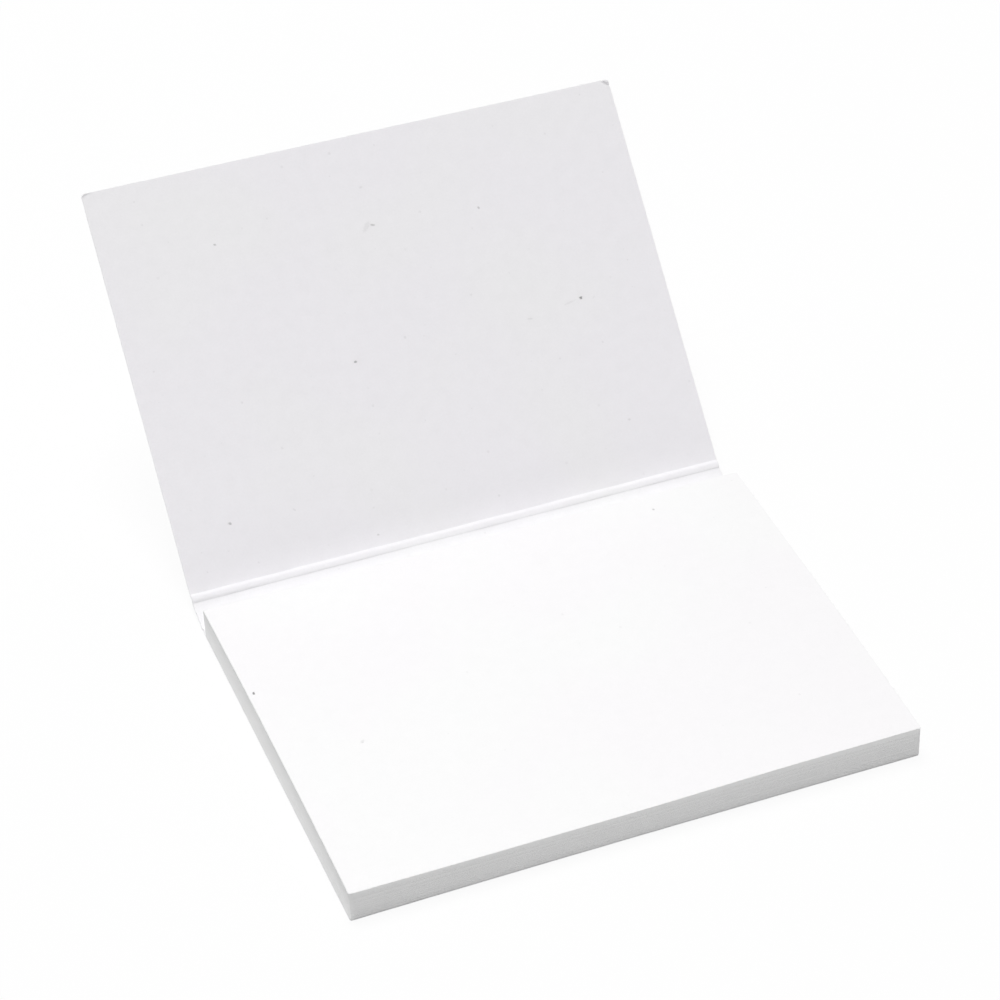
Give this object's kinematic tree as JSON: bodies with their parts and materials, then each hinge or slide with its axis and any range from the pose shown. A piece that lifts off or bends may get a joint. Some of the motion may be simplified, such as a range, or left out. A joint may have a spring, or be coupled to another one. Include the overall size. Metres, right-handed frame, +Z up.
{
  "type": "sticky note pad",
  "caption": "Sticky note pad in a creased card cover, lying open: a block of white leaves on the back cover, with the front cover leaning back behind it on a narrow spine.",
  "frame": {"origin": "middle of the back cover's underside, under the middle of the leaves", "axes": "+X along the spine, +Y from the leaves' free edge to the spine and the open front cover, +Z up"},
  "size_m": [0.1, 0.1326, 0.0533],
  "materials": {
    "leaves": "matte",
    "card": "matte"
  },
  "bodies": {
    "pad": {"note_block": "leaves", "back_cover": "card"},
    "spine": {"spine_strip": "card"},
    "cover": {"front_cover": "card"}
  },
  "joints": [
    {"name": "lower_crease", "type": "hinge", "parent": "pad", "child": "spine", "pos_m": [0, 0.037, 0], "axis": [1, 0, 0], "range_deg": [0, 78]},
    {"name": "upper_crease", "type": "hinge", "parent": "spine", "child": "cover", "pos_m": [0, 0.0437, 0.00202], "axis": [1, 0, 0], "range_deg": [-44, 58]}
  ]
}
